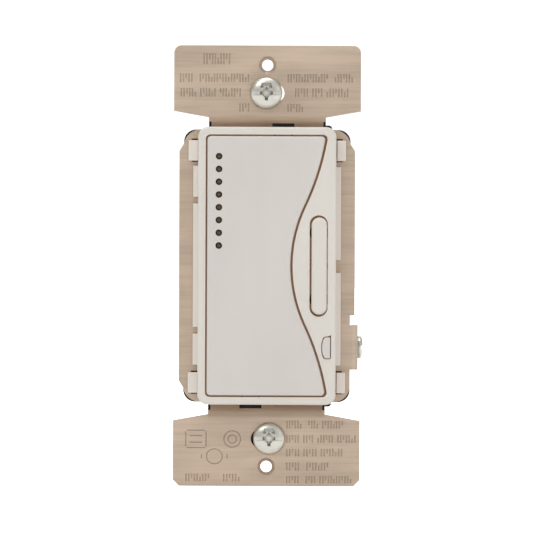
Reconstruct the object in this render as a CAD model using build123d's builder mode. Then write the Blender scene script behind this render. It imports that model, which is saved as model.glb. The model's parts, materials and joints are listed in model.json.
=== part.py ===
"""Wall-box dimmer: a tap paddle, a dimming rocker and an air-gap tab on a metal mounting strap.

Millimetres. X points right, Y points into the wall and Z points up. The origin lies on the wall plane,
midway between the two cover-plate screw holes. "Height" below means the distance in front of the wall plane,
so a height of h is the plane y = -h, and what lies inside the wall box has a negative height.
"""

from build123d import *

import os
from math import asin, cos, radians, sin

# ---------------------------------------------------------------- driving dimensions
# Mounting strap
STRAP_THICK = 1.3
JOGGLE = 1.5  # how far the middle of the strap is set back from its ears
EAR_HALF = 22.53
EAR_END = 53.13
EAR_SHOULDER = 37.3
EAR_ROOT = 35.8
EAR_CORNER = 1.8
EAR_CHAMFER = 1.5
NECK_HALF = 14.1
NECK_INNER_HALF = 13.5
NECK_STEP_Z = 34.8  # where the neck turns from its inner to its outer width
BEND_RADIUS = 4.0  # of the soft bend between an ear and the neck
BEND_RUN = 1.5  # how far that bend reaches into the ear
CORE_HALF = 20.1
CORE_END = 32.87
CORE_CORNER = 3.4
WING_HALF = 21.2
WING_END = 27.7
EAR_FRONT = STRAP_THICK
PLATE_FRONT = EAR_FRONT - JOGGLE
PLATE_BACK = PLATE_FRONT - STRAP_THICK

# Standard spacings of North American wall boxes and decorator cover plates
BOX_SCREW_Z = 83.34 / 2
COVER_SCREW_Z = 96.82 / 2
COVER_HOLE = 1.38  # clears a 6-32 thread's root, so the screw cuts its own way in
COVER_SINK = 2.25
SCREW_SHANK = 1.75  # crest radius of a 6-32 thread
SCREW_NECK = 1.45  # radius of the unthreaded neck that a retainer turns on
THREAD_START = 0.3  # y of a box screw's first thread
UNDER_HEAD = EAR_FRONT + 0.03  # height of the underside of a box screw's head
BOX_HEAD, BOX_HEAD_HEIGHT, BOX_SHANK_LENGTH = 3.85, 2.1, 19.5
RETAINER, RETAINER_THICK, RETAINER_RECESS = 3.75, 0.4, 0.5  # radius, thickness, depth of its recess
BOX_SLOTS = {1: (-4.1, 4.1), -1: (-3.72, 4.1)}  # ends of the upper and the lower slot for the box screws
BOX_SLOT_WIDTH = 4.4

# Face
FACE_WIDTH = 33.26
FACE_LENGTH = 66.87
FACE_CORNER = 2.45
FACE_WALL = 1.3
FACE_FRONT = 6.8
SKIN = 1.6
SEAM = 0.38  # visible gap along the paddle's straight sides
WAVE_SEAM = 0.54  # visible gap along its wavy side
OPENING_LEFT = -14.8
OPENING_END = 31.59
WAIST_X = 5.92  # the seam's leftmost point
WAIST_RADIUS = 33.5
WAIST_ANGLE = 25.3
SHOULDER_RADIUS = 62.8

# Carrier frame
CARRIER_TOP = 1.2
STRIP_EDGE = 17.86
LUG_HALF, LUG_LENGTH, LUG_THICK = 19.0, 4.95, 0.5
LUG_LEG_X = 17.05
LUG_CENTRES = (27.8, -28.2)  # z of the upper and the lower pair
LUG_INNER = {1: 16.92, -1: 16.72}  # distance of a pad's inner edge from the middle, right and left
HOOK_X = 3.85  # the bezel's hooks: right of the middle at the top, left of it at the bottom

# Moving controls
PADDLE_BACK = 4.9
PADDLE_FRONT = 7.0
PADDLE_PIVOT = (3.2, 29.2)  # height, z
PADDLE_PIN = 0.9
ROCKER_X = 12.6
ROCKER_LENGTH = 23.4
ROCKER_WIDTH = 3.76
ROCKER_WELL_X = 12.45
ROCKER_WELL = (24.4, 4.35)
ROCKER_PIVOT = 4.2  # height
ROCKER_PIN = 0.7
ROCKER_DOME_Z = 8.0
TAB_X, TAB_Z = 14.4, -19.7
TAB_BOW, TAB_LEFT, TAB_RIGHT = 13.12, 13.75, 15.5  # the well's leftmost point, left corners and right side
TAB_HALF, TAB_GAP = 2.72, 0.19  # half the well's height, gap around the tab
PADDLE_DOME = (-3.0, -15.0)

# Indicators
LED_X = -11.6
LED_TOP_Z = 26.33
LED_PITCH = 3.07
LED_COUNT = 8
LED_DOT = 0.8  # radius of the windows in the paddle

# Rear housing and boards
HOUSING_BACK = -30.0
BODY_HALF = 19.2
BODY_END = 32.6
RIM_HALF, RIM_END, RIM_CORNER = 20.1, 32.87, 2.9
NECK_BLOCK_END, NECK_BLOCK_CORNER = 34.9, 0.12
HOUSING_WALL = 1.8
HOUSING_SCREW_X, HOUSING_SCREW_Z = 13.0, 30.0
SCREW_SEAT = -24.0  # height of the shoulder under each housing screw's head
CONTROL_BOARD = (-2.6, 1.2)  # height of its front face, thickness
POWER_BOARD = (-15.0, 1.6)
BOARD_PEG_X, BOARD_PEG_Z, BOARD_PEG = 8.8, 23.6, 1.0

# Wire terminals: side of the housing, z
TERMINALS = {"line": (-1, 13.0), "traveller": (-1, -13.0), "load": (1, 13.0)}
TERMINAL_HEIGHT = -15.6  # height of each terminal screw's axis
BAY_HALF = 5.0
BAY_FRONT, BAY_BACK = -8.2, -24.0
BAY_FLOOR = 12.2
PLATE_FLOOR = 14.0  # inner face of a terminal plate
PLATE_TOP = 15.0
CLAMP_THICK = 1.0
WIRE_BORE = 1.2
WIRE_X, WIRE_Z = 15.9, 2.9
GROUND_Z = -19.6
GROUND_HEIGHT = -9.6
TAB_OUTER = 22.0  # outer face of the strap's grounding flange

HOUSING_SHANK = 1.2
TRANSISTOR_SHANK = 1.45
TRANSISTOR_HOLES = [(-4.3, 25.4), (6.7, 25.4)]

RUNNING_GAP = 0.05
led_heights = [LED_TOP_Z - i * LED_PITCH for i in range(LED_COUNT)]


# ---------------------------------------------------------------- helpers
def front(height, x=0.0, z=0.0):
    """A plane facing the room at a height, with its x along X and its y along Z."""
    return Plane(origin=(x, -height, z), x_dir=(1, 0, 0), z_dir=(0, -1, 0))


def rear(height, x=0.0, z=0.0):
    """A plane facing into the wall box, with its y along Z."""
    return Plane(origin=(x, -height, z), x_dir=(-1, 0, 0), z_dir=(0, 1, 0))


def flank(side, x, height=0.0, z=0.0):
    """A plane facing right (side 1) or left (side -1), with its x along Y."""
    return Plane(origin=(x, -height, z), x_dir=(0, 1, 0), z_dir=(side, 0, 0))


def wave(offset, end_z):
    """Draws the paddle's wavy right edge from -end_z to end_z, moved right by offset, and returns its ends."""
    angle = radians(WAIST_ANGLE)
    waist_centre = Vector(WAIST_X + WAIST_RADIUS, 0)
    reach = WAIST_RADIUS + SHOULDER_RADIUS
    shoulder_centre = waist_centre + Vector(-reach * cos(angle), reach * sin(angle))
    shoulder = SHOULDER_RADIUS + offset
    end_angle = asin((shoulder_centre.Y - end_z) / shoulder)

    def on_shoulder(a):
        return shoulder_centre + Vector(shoulder * cos(a), -shoulder * sin(a))

    def below(point):
        return Vector(point.X, -point.Y)

    joint = on_shoulder(angle)
    middle = on_shoulder((angle + end_angle) / 2)
    end = on_shoulder(end_angle)
    waist = waist_centre - Vector(WAIST_RADIUS - offset, 0)
    ThreePointArc(below(end), below(middle), below(joint))
    ThreePointArc(below(joint), waist, joint)
    ThreePointArc(joint, middle, end)
    return below(end), end


def paddle_outline(offset, left, end_z, corner):
    """A sketch of the paddle's outline: three straight sides and the wavy one."""
    with BuildSketch() as outline:
        with BuildLine():
            low, high = wave(offset, end_z)
            Polyline(high, (left, end_z), (left, -end_z), low)
        make_face()
        fillet(outline.vertices().filter_by(lambda v: abs(abs(v.Y) - end_z) < 0.01), corner)
    return outline.sketch


def tab_outline(inset):
    """A sketch of the air-gap tab: a bowed left side with round corners and a straight right side."""
    left, bow, right = TAB_LEFT + inset, TAB_BOW + inset, TAB_RIGHT - inset
    top, bottom = TAB_Z + TAB_HALF - inset, TAB_Z - TAB_HALF + inset
    with BuildSketch() as outline:
        with BuildLine():
            ThreePointArc((left, top), (bow, TAB_Z), (left, bottom))
            Polyline((left, bottom), (right, bottom), (right, top), (left, top))
        make_face()
        corners = outline.vertices().sort_by(Axis.X)
        fillet(corners[:2], 0.75 - inset)
        fillet(outline.vertices().sort_by(Axis.X)[-2:], 0.4 - inset)
    return outline.sketch


def machine_screw(base, head_radius, head_height, shank_radius, shank_length, slot=1.0, neck=(0.0, 0.0)):
    """A domed screw with a combined slot and cross recess. Base lies under the head and faces outwards.

    The neck's two numbers say how much slimmer the shank is under the head, and how far down that goes.
    """
    section = Plane(base.origin, x_dir=base.x_dir, z_dir=-base.y_dir)
    rim = 0.25 * head_height
    tip = 0.6 * shank_radius
    neck_cut, neck_length = neck
    with BuildPart() as screw:
        with BuildSketch(section):
            with BuildLine():
                Polyline(
                    (0, head_height),
                    (0, -shank_length),
                    (shank_radius - tip, -shank_length),
                    (shank_radius, -shank_length + tip),
                    (shank_radius, -neck_length),
                )
                if neck_length:
                    Polyline((shank_radius, -neck_length), (shank_radius - neck_cut, -neck_length),
                             (shank_radius - neck_cut, 0))
                Polyline((shank_radius - neck_cut, 0), (head_radius, 0), (head_radius, rim))
                TangentArc((0, head_height), (head_radius, rim), tangent=(1, 0))
            make_face()
        revolve(axis=Axis(base.origin, base.z_dir))
        with BuildSketch(base.offset(head_height)):
            Rectangle(2.2 * head_radius, slot)
        extrude(amount=-0.45 * head_height, mode=Mode.SUBTRACT)
        with BuildSketch(base.offset(head_height)):
            Rectangle(1.15 * head_radius, slot)
            Rectangle(slot, 1.15 * head_radius)
        extrude(amount=-0.9 * head_height, mode=Mode.SUBTRACT)
    return screw


pieces = {}


# ---------------------------------------------------------------- mounting strap
def joggle_section():
    """Section of the bend between an ear and the set-back plate, in Y and Z."""
    slope_end = CORE_END + 0.5
    overlap = CORE_END - 0.8
    with BuildSketch(Plane.YZ) as section:
        with BuildLine():
            Polyline(
                (-EAR_FRONT, EAR_ROOT + BEND_RUN),
                (-EAR_FRONT, EAR_ROOT),
                (-PLATE_FRONT, slope_end),
                (-PLATE_FRONT, overlap),
                (-PLATE_BACK, overlap),
                (-PLATE_BACK, slope_end - 0.2),
                (0, EAR_ROOT - 0.3),
                (0, EAR_ROOT + BEND_RUN),
                close=True,
            )
        make_face()
        fillet(section.vertices().sort_by_distance((-EAR_FRONT, EAR_ROOT, 0))[0], BEND_RADIUS)
    return section


def core_corner(side, end):
    """Draws the large round corner of the set-back plate, and returns its outer and its inner end."""
    outer = (side * CORE_HALF, end * (CORE_END - CORE_CORNER))
    middle = (side * (CORE_HALF - 0.36 * CORE_CORNER), end * (CORE_END - 0.33 * CORE_CORNER))
    inner = (side * (CORE_HALF - 1.06 * CORE_CORNER), end * CORE_END)
    ThreePointArc(outer, middle, inner)
    return outer, inner


with BuildPart() as strap:
    # The two ears, with rounded corners at the top and cut corners at the bottom
    with BuildSketch(front(0)) as ears:
        for end in (1, -1):
            with BuildLine():
                Polyline(
                    (NECK_HALF, end * (EAR_ROOT + BEND_RUN)),
                    (NECK_HALF, end * EAR_ROOT),
                    (EAR_HALF, end * EAR_SHOULDER),
                    (EAR_HALF, end * EAR_END),
                    (-EAR_HALF, end * EAR_END),
                    (-EAR_HALF, end * EAR_SHOULDER),
                    (-NECK_HALF, end * EAR_ROOT),
                    (-NECK_HALF, end * (EAR_ROOT + BEND_RUN)),
                    close=True,
                )
            make_face()
        fillet(ears.vertices().group_by(Axis.Y)[-1], EAR_CORNER)
        chamfer(ears.vertices().group_by(Axis.Y)[0], EAR_CHAMFER)
    extrude(amount=STRAP_THICK)
    # The bends down to the plate
    with BuildSketch(Plane.YZ) as bends:
        add(joggle_section().sketch_local)
        mirror(about=Plane.XZ)
    extrude(amount=NECK_HALF, both=True)
    # The set-back plate, whose sides stand out as cooling wings
    with BuildSketch(front(PLATE_BACK)) as plate:
        with BuildLine():
            corners = {(side, end): core_corner(side, end) for side in (1, -1) for end in (1, -1)}
            Polyline(corners[1, 1][0], (WING_HALF, WING_END), (WING_HALF, -11.9), (CORE_HALF, -11.9),
                     corners[1, -1][0])
            Polyline(corners[1, -1][1], corners[-1, -1][1])
            Polyline(corners[-1, -1][0], (-WING_HALF, -WING_END), (-WING_HALF, WING_END), corners[-1, 1][0])
            Polyline(corners[-1, 1][1], corners[1, 1][1])
        make_face()
    extrude(amount=STRAP_THICK)
    # The grounding flange, bent back from the right edge
    outer_bend, inner_bend = 1.6, 0.3
    bend_x, bend_y = TAB_OUTER - outer_bend, -PLATE_FRONT + outer_bend
    flange_end = 13.6
    with BuildSketch(Plane.XY.offset(-25.0)):
        with BuildLine():
            Polyline((bend_x, -PLATE_BACK), (bend_x - 1, -PLATE_BACK), (bend_x - 1, -PLATE_FRONT),
                     (bend_x, -PLATE_FRONT))
            CenterArc((bend_x, bend_y), outer_bend, 270, 90)
            Polyline((TAB_OUTER, bend_y), (TAB_OUTER, flange_end), (TAB_OUTER - STRAP_THICK, flange_end),
                     (TAB_OUTER - STRAP_THICK, bend_y))
            CenterArc((bend_x, bend_y), inner_bend, 270, 90)
        make_face()
    extrude(amount=10.8)
    flange_corners = strap.edges().filter_by(Axis.X).group_by(Axis.Y)[-1]
    fillet(flange_corners, 2.0)
    # Cover-plate screw holes: dimpled in front, with a drawn collar behind
    with BuildSketch(rear(0)):
        with Locations((0, COVER_SCREW_Z), (0, -COVER_SCREW_Z)):
            Circle(2.3)
    extrude(amount=0.9)
    with BuildSketch(front(EAR_FRONT)):
        with Locations((0, COVER_SCREW_Z), (0, -COVER_SCREW_Z)):
            Circle(3.1)
    extrude(amount=-0.16, taper=65, mode=Mode.SUBTRACT)
    with Locations(front(EAR_FRONT - 0.02)):
        with Locations((0, COVER_SCREW_Z), (0, -COVER_SCREW_Z)):
            CounterSinkHole(COVER_HOLE, COVER_SINK)
    # Slots for the box screws, with a coined recess behind each for its retainer
    with BuildSketch(front(0)):
        with Locations((0, BOX_SCREW_Z), (0, -BOX_SCREW_Z)):
            RectangleRounded(13.8, 7.9, 3.9)
    extrude(amount=RETAINER_RECESS, mode=Mode.SUBTRACT)
    with BuildSketch(front(EAR_FRONT)):
        for end, (left, right) in BOX_SLOTS.items():
            with Locations(((left + right) / 2, end * BOX_SCREW_Z)):
                SlotOverall(right - left, BOX_SLOT_WIDTH)
    extrude(amount=-STRAP_THICK, mode=Mode.SUBTRACT)
    # The neck is narrower behind the bend, and holds the bezel hooks' slots
    step_low, step_width = 32.52, 1.0
    step_centre = NECK_INNER_HALF + step_width / 2
    with BuildSketch(front(EAR_FRONT)):
        for end in (1, -1):
            with Locations((end * HOOK_X, end * 32.7)):
                Rectangle(5.3, 3.4)
            step_z = end * (step_low + NECK_STEP_Z) / 2
            with Locations((step_centre, step_z), (-step_centre, step_z)):
                Rectangle(step_width, NECK_STEP_Z - step_low)
    extrude(amount=-4, mode=Mode.SUBTRACT)
    # Windows in the plate: four for the carrier's lugs, then the controls and the indicators
    with BuildSketch(front(PLATE_FRONT)):
        for z in LUG_CENTRES:
            with Locations((LUG_LEG_X, z + 0.05), (-LUG_LEG_X, z + 0.05)):
                Rectangle(2.3, LUG_LENGTH + 0.65)
        with Locations((LED_X, (led_heights[0] + led_heights[-1]) / 2)):
            Rectangle(2.2, led_heights[0] - led_heights[-1] + 2.2)
        with Locations(PADDLE_DOME):
            Circle(3.4)
        with Locations((ROCKER_X, ROCKER_DOME_Z), (ROCKER_X, -ROCKER_DOME_Z)):
            Circle(2.4)
        with Locations((TAB_X, TAB_Z)):
            Rectangle(2.4, 5.0)
        with Locations((0, -27.5)):
            Rectangle(4.4, 3.2)
        with GridLocations(2 * HOUSING_SCREW_X, 2 * HOUSING_SCREW_Z, 2, 2):
            Circle(HOUSING_SHANK + RUNNING_GAP)
        with Locations(*TRANSISTOR_HOLES):
            Circle(TRANSISTOR_SHANK + RUNNING_GAP)
    extrude(amount=-STRAP_THICK, mode=Mode.SUBTRACT)
    # Threaded hole for the grounding screw
    with BuildSketch(flank(1, TAB_OUTER, GROUND_HEIGHT, GROUND_Z)):
        Circle(SCREW_SHANK + RUNNING_GAP)
    extrude(amount=-STRAP_THICK, mode=Mode.SUBTRACT)
pieces["strap"] = strap

# ---------------------------------------------------------------- carrier frame
with BuildPart() as carrier_frame:
    with BuildSketch(front(PLATE_FRONT)):
        RectangleRounded(32.7, 64.9, 2.2)
        # Flange strips that the cover plate is centred on, broken by clearance notches
        strip_width = STRIP_EDGE - 15.9
        for side, z_low, z_high in (
            (-1, 16.6, 24.1),
            (-1, -14.8, 15.0),
            (-1, -23.9, -16.4),
            (1, 1.45, 23.9),
            (1, -24.0, -1.6),
        ):
            with Locations((side * (STRIP_EDGE - strip_width / 2), (z_low + z_high) / 2)):
                Rectangle(strip_width, z_high - z_low)
    extrude(amount=CARRIER_TOP - PLATE_FRONT)
    # Snap lugs at the four corners: a pad over the strap beside the bezel, joined to the frame by a low
    # bridge, with a leg through the strap and a barb behind it
    for side, inner in LUG_INNER.items():
        for z in LUG_CENTRES:
            with BuildSketch(front(PLATE_FRONT)):
                with Locations((side * (16.0 + LUG_HALF) / 2, z)):
                    Rectangle(LUG_HALF - 16.0, LUG_LENGTH)
            extrude(amount=0.55)
            with BuildSketch(front(PLATE_FRONT)) as pad:
                with Locations((side * (inner + LUG_HALF) / 2, z)):
                    Rectangle(LUG_HALF - inner, LUG_LENGTH)
                fillet(pad.vertices().filter_by(lambda v: abs(v.X) > LUG_HALF - 0.01), 0.45)
            extrude(amount=CARRIER_TOP + LUG_THICK - PLATE_FRONT)
            with BuildSketch(Plane.XY.offset(z - 2.3)):
                with BuildLine():
                    Polyline((side * 16.1, -PLATE_FRONT - 0.4), (side * 17.8, -PLATE_FRONT - 0.4),
                             (side * 17.8, -PLATE_BACK + 0.12), (side * 18.6, -PLATE_BACK + 0.12),
                             (side * 17.4, 3.4), (side * 16.1, 3.4), close=True)
                make_face()
            extrude(amount=4.6)
    # Bearing posts for the paddle and the rocker, and two stops under the paddle
    with BuildSketch(front(CARRIER_TOP)):
        with Locations((-10.95, PADDLE_PIVOT[1]), (10.95, PADDLE_PIVOT[1])):
            Rectangle(1.4, 2.6)
        with Locations((-11.0, -29.0), (9.5, -29.0)):
            Circle(1.3)
    extrude(amount=3.3)
    with BuildSketch(front(3.62)):
        with Locations((-11.0, -29.0), (9.5, -29.0)):
            Rectangle(3, 3)
    extrude(amount=2, mode=Mode.SUBTRACT)
    with BuildSketch(front(CARRIER_TOP)):
        with Locations((9.6, 0)):
            Rectangle(1.2, 3.0)
        with Locations((14.94, 0)):
            Rectangle(0.48, 3.0)
    extrude(amount=3.9)
    with BuildSketch(flank(1, -13, PADDLE_PIVOT[0], PADDLE_PIVOT[1])):
        Circle(PADDLE_PIN + RUNNING_GAP)
    extrude(amount=26, mode=Mode.SUBTRACT)
    with BuildSketch(flank(1, 8, ROCKER_PIVOT)):
        Circle(ROCKER_PIN + RUNNING_GAP)
    extrude(amount=8, mode=Mode.SUBTRACT)
    # Openings for the light pipe, the keypad's domes, the air-gap stem, the paddle's catch and the hooks
    with BuildSketch(front(CARRIER_TOP)):
        with Locations((LED_X, (led_heights[0] + led_heights[-1]) / 2)):
            Rectangle(2.0, led_heights[0] - led_heights[-1] + 2.0)
        with Locations(PADDLE_DOME):
            Circle(3.2)
        with Locations((ROCKER_X, ROCKER_DOME_Z), (ROCKER_X, -ROCKER_DOME_Z)):
            Circle(2.3)
        with Locations((TAB_X, TAB_Z)):
            Rectangle(2.2, 4.8)
        with Locations((0, -27.4)):
            Rectangle(4.0, 2.4)
        with Locations((HOOK_X, 32.4), (-HOOK_X, -32.4)):
            Rectangle(4.6, 1.8)
    extrude(amount=PLATE_FRONT - CARRIER_TOP, mode=Mode.SUBTRACT)
pieces["carrier_frame"] = carrier_frame

# ---------------------------------------------------------------- bezel
BEZEL_FOOT = CARRIER_TOP + 0.05
with BuildPart() as bezel:
    with BuildSketch(front(BEZEL_FOOT)):
        RectangleRounded(FACE_WIDTH, FACE_LENGTH, FACE_CORNER)
    extrude(amount=FACE_FRONT - BEZEL_FOOT)
    fillet(bezel.faces().sort_by(Axis.Y)[0].edges(), 0.55)
    with BuildSketch(front(BEZEL_FOOT)):
        RectangleRounded(FACE_WIDTH - 2 * FACE_WALL, FACE_LENGTH - 2 * FACE_WALL, FACE_CORNER - FACE_WALL)
    extrude(amount=FACE_FRONT - SKIN - BEZEL_FOOT, mode=Mode.SUBTRACT)
    # A skirt under the web keeps light from leaking along the wavy seam
    with BuildSketch(front(1.9)):
        add(paddle_outline(WAVE_SEAM / 2 + 1.0, 0, 31.9, 0.8))
        add(paddle_outline(WAVE_SEAM / 2 + 0.05, -1, 32.2, 0.8), mode=Mode.SUBTRACT)
    extrude(amount=FACE_FRONT - SKIN - 1.9)
    # Openings for the paddle, the rocker and the air-gap tab
    with BuildSketch(front(FACE_FRONT)):
        add(paddle_outline(WAVE_SEAM / 2, OPENING_LEFT, OPENING_END, 1.1))
        with Locations((ROCKER_WELL_X, 0)):
            SlotOverall(*ROCKER_WELL, rotation=90)
    extrude(amount=-SKIN - 0.01, mode=Mode.SUBTRACT)
    with BuildSketch(front(FACE_FRONT)):
        add(tab_outline(0))
    extrude(amount=BEZEL_FOOT - FACE_FRONT, mode=Mode.SUBTRACT)
    # A fingernail notch at the tab's top corner
    with BuildSketch(front(FACE_FRONT)):
        with BuildLine():
            Polyline((14.3, -17.0), (15.5, -16.68), (15.5, -17.5), (14.4, -17.4), close=True)
        make_face()
    extrude(amount=-SKIN, mode=Mode.SUBTRACT)
    # Hooks through the strap's neck slots
    for end in (1, -1):
        with BuildSketch(Plane.YZ.offset(end * HOOK_X)) as hook:
            with BuildLine():
                Polyline(
                    (-BEZEL_FOOT - 1.0, end * 33.2),
                    (-BEZEL_FOOT - 1.0, end * 32.1),
                    (-PLATE_BACK + 0.12, end * 32.1),
                    (-PLATE_BACK + 0.12, end * 30.6),
                    (3.4, end * 31.7),
                    (3.4, end * 33.2),
                    close=True,
                )
            make_face()
        extrude(amount=1.8, both=True)
pieces["bezel"] = bezel

# ---------------------------------------------------------------- paddle
with BuildPart() as paddle:
    with BuildSketch(front(PADDLE_BACK)):
        add(paddle_outline(-WAVE_SEAM / 2, OPENING_LEFT + SEAM, OPENING_END - SEAM, 0.9))
    extrude(amount=PADDLE_FRONT - PADDLE_BACK)
    fillet(paddle.faces().sort_by(Axis.Y)[0].edges(), 0.45)
    with BuildSketch(front(PADDLE_FRONT)):
        with Locations(*[(LED_X, z) for z in led_heights]):
            Circle(LED_DOT)
    extrude(amount=PADDLE_BACK - PADDLE_FRONT, mode=Mode.SUBTRACT)
    # Hinge lugs at the top, the post that presses the keypad and the stiffening ribs
    with BuildSketch(front(PADDLE_BACK)):
        with Locations((-9.2, PADDLE_PIVOT[1]), (9.2, PADDLE_PIVOT[1])):
            Rectangle(1.8, 2.4)
    extrude(amount=PADDLE_PIVOT[0] - 1.2 - PADDLE_BACK)
    with BuildSketch(front(PADDLE_BACK)):
        with Locations(PADDLE_DOME):
            Circle(2.0)
    extrude(amount=0.75 - PADDLE_BACK)
    with BuildSketch(front(PADDLE_BACK)):
        with Locations((-3.0, 3.0)):
            Rectangle(1.0, 50.0)
        with Locations((-3.0, 14.0), (-3.5, -22.0)):
            Rectangle(12.0, 1.0)
    extrude(amount=-1.2)
    for side in (1, -1):
        with BuildSketch(flank(side, side * 9.2, PADDLE_PIVOT[0], PADDLE_PIVOT[1])):
            Circle(PADDLE_PIN)
        extrude(amount=2.4)
    # A catch at the bottom that keeps the paddle from lifting out
    with BuildSketch(Plane.YZ):
        with BuildLine():
            Polyline((-PADDLE_BACK - 0.5, -27.0), (-PADDLE_BACK - 0.5, -28.1), (-PLATE_FRONT + 0.08, -28.1),
                     (-PLATE_FRONT + 0.08, -28.85), (1.2, -28.1), (1.2, -27.0), close=True)
        make_face()
    extrude(amount=1.5, both=True)
pieces["paddle"] = paddle

# ---------------------------------------------------------------- rocker
with BuildPart() as rocker:
    with BuildSketch(front(3.5)):
        with Locations((ROCKER_X, 0)):
            SlotOverall(ROCKER_LENGTH, ROCKER_WIDTH, rotation=90)
    extrude(amount=3.75)
    fillet(rocker.faces().sort_by(Axis.Y)[0].edges(), 0.7)
    with BuildSketch(front(3.6)):
        with Locations((ROCKER_X, ROCKER_DOME_Z), (ROCKER_X, -ROCKER_DOME_Z)):
            Rectangle(1.6, 2.0)
    extrude(amount=0.75 - 3.6)
    for side, reach in ((-1, 1.4), (1, 0.64)):
        with BuildSketch(flank(side, ROCKER_X + side * (ROCKER_WIDTH / 2 - 0.3), ROCKER_PIVOT)):
            Circle(ROCKER_PIN)
        extrude(amount=reach + 0.3)
pieces["rocker"] = rocker

# ---------------------------------------------------------------- air-gap tab
with BuildPart() as airgap_tab:
    with BuildSketch(front(4.0)):
        add(tab_outline(TAB_GAP))
    extrude(amount=FACE_FRONT + 0.15 - 4.0)
    fillet(airgap_tab.faces().sort_by(Axis.Y)[0].edges(), 0.2)
    with BuildSketch(front(4.2)):
        with Locations((TAB_X + 0.1, TAB_Z)):
            Rectangle(1.2, 3.8)
    extrude(amount=-5.4 - 4.2)
    # The foot that holds the leaf contact closed while the tab is in
    with BuildSketch(front(-5.0)):
        with Locations((TAB_X - 0.4, TAB_Z)):
            Rectangle(2.2, 3.8)
    extrude(amount=-0.8)
pieces["airgap_tab"] = airgap_tab

# ---------------------------------------------------------------- light pipe, keypad and indicators
with BuildPart() as light_pipe:
    with BuildSketch(front(CARRIER_TOP + 0.02)):
        with Locations((LED_X, (led_heights[0] + led_heights[-1]) / 2)):
            RectangleRounded(3.0, led_heights[0] - led_heights[-1] + 2.3, 0.6)
    extrude(amount=1.1)
    with BuildSketch(front(CARRIER_TOP + 0.5)):
        with Locations(*[(LED_X, z) for z in led_heights]):
            Circle(LED_DOT - 0.18)
    extrude(amount=PADDLE_FRONT - 0.85 - CARRIER_TOP - 0.5)
    with BuildSketch(front(CARRIER_TOP + 0.5)):
        with Locations(*[(LED_X, z) for z in led_heights]):
            Circle(0.75)
    extrude(amount=-1.7 - CARRIER_TOP - 0.5)
    fillet(light_pipe.faces().group_by(Axis.Y)[0].edges(), 0.3)
pieces["light_pipe"] = light_pipe

with BuildPart() as keypad:
    base_back = CONTROL_BOARD[0] + 0.05
    with BuildSketch(front(base_back)) as pad:
        with Locations((ROCKER_X, 0)):
            Rectangle(5.2, 22.4)
        with Locations((2.5, -8.7)):
            Rectangle(15.6, 4.0)
        with Locations(PADDLE_DOME):
            RectangleRounded(9.0, 9.0, 1.5)
        fillet(pad.vertices().group_by(Axis.Y)[-1], 1.0)
    extrude(amount=0.8)
    for centre, foot, crown in (
        (PADDLE_DOME, 2.9, 2.0),
        ((ROCKER_X, ROCKER_DOME_Z), 2.1, 1.5),
        ((ROCKER_X, -ROCKER_DOME_Z), 2.1, 1.5),
    ):
        with BuildSketch(front(base_back + 0.4)):
            with Locations(centre):
                Circle(foot)
        with BuildSketch(front(0.0)):
            with Locations(centre):
                Circle(crown)
        loft()
        with BuildSketch(front(0.0)):
            with Locations(centre):
                Circle(crown)
        extrude(amount=0.65)
        with BuildSketch(front(base_back)):
            with Locations(centre):
                Circle(foot - 0.6)
        extrude(amount=1.4, taper=15, mode=Mode.SUBTRACT)
pieces["keypad"] = keypad

with BuildPart() as indicator_leds:
    with BuildSketch(front(CONTROL_BOARD[0] + 0.02)):
        with Locations(*[(LED_X, z) for z in led_heights]):
            Rectangle(0.9, 1.6)
    extrude(amount=0.65)
pieces["indicator_leds"] = indicator_leds

# ---------------------------------------------------------------- control board
with BuildPart() as control_board:
    with BuildSketch(front(CONTROL_BOARD[0])):
        with BuildLine():
            Polyline((-15.2, 24.6), (-15.2, -24.6), (-12.0, -26.6), (12.0, -26.6), (12.6, -24.0),
                     (12.6, -15.9), (15.3, -15.9), (15.3, 11.6), (-9.8, 11.6), (-9.8, 27.3), (-12.8, 27.3),
                     close=True)
        make_face()
        with Locations((0, -27.4)):
            Rectangle(4.6, 3.4, mode=Mode.SUBTRACT)
        with Locations((-12.8, -21.0), (8.5, -21.0)):
            Circle(1.1, mode=Mode.SUBTRACT)
    extrude(amount=-CONTROL_BOARD[1])
pieces["control_board"] = control_board

CONTROL_REAR = CONTROL_BOARD[0] - CONTROL_BOARD[1]
with BuildPart() as controller_chip:
    with BuildSketch(rear(CONTROL_REAR - 0.12, 3.0, -2.0)):
        RectangleRounded(7.0, 7.0, 0.3)
    extrude(amount=1.0)
    with BuildSketch(rear(CONTROL_REAR - 1.12, 3.0, -2.0)):
        with Locations((-2.7, 2.7)):
            Circle(0.4)
    extrude(amount=-0.12, mode=Mode.SUBTRACT)
pieces["controller_chip"] = controller_chip

with BuildPart() as chip_leads:
    lead_pitch, leads_a_side = 0.8, 8
    for side in range(4):
        along = Plane(origin=(3.0, -CONTROL_REAR, -2.0), x_dir=(0, 0, 1) if side % 2 else (1, 0, 0),
                      z_dir=(0, 1, 0))
        with BuildSketch(along):
            with Locations((0, 4.05 if side < 2 else -4.05)):
                with GridLocations(lead_pitch, 1, leads_a_side, 1):
                    Rectangle(0.35, 1.0)
        extrude(amount=0.3)
pieces["chip_leads"] = chip_leads

with BuildPart() as board_header:
    with BuildSketch(rear(CONTROL_REAR, -7.0, -10.0)):
        Rectangle(2.5, 15.3)
    extrude(amount=2.5)
    with BuildSketch(rear(CONTROL_REAR, -7.0, -10.0)):
        with GridLocations(1, 2.54, 1, 6):
            Rectangle(0.64, 0.64)
    extrude(amount=CONTROL_REAR - POWER_BOARD[0] - 0.05)
pieces["board_header"] = board_header

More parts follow.
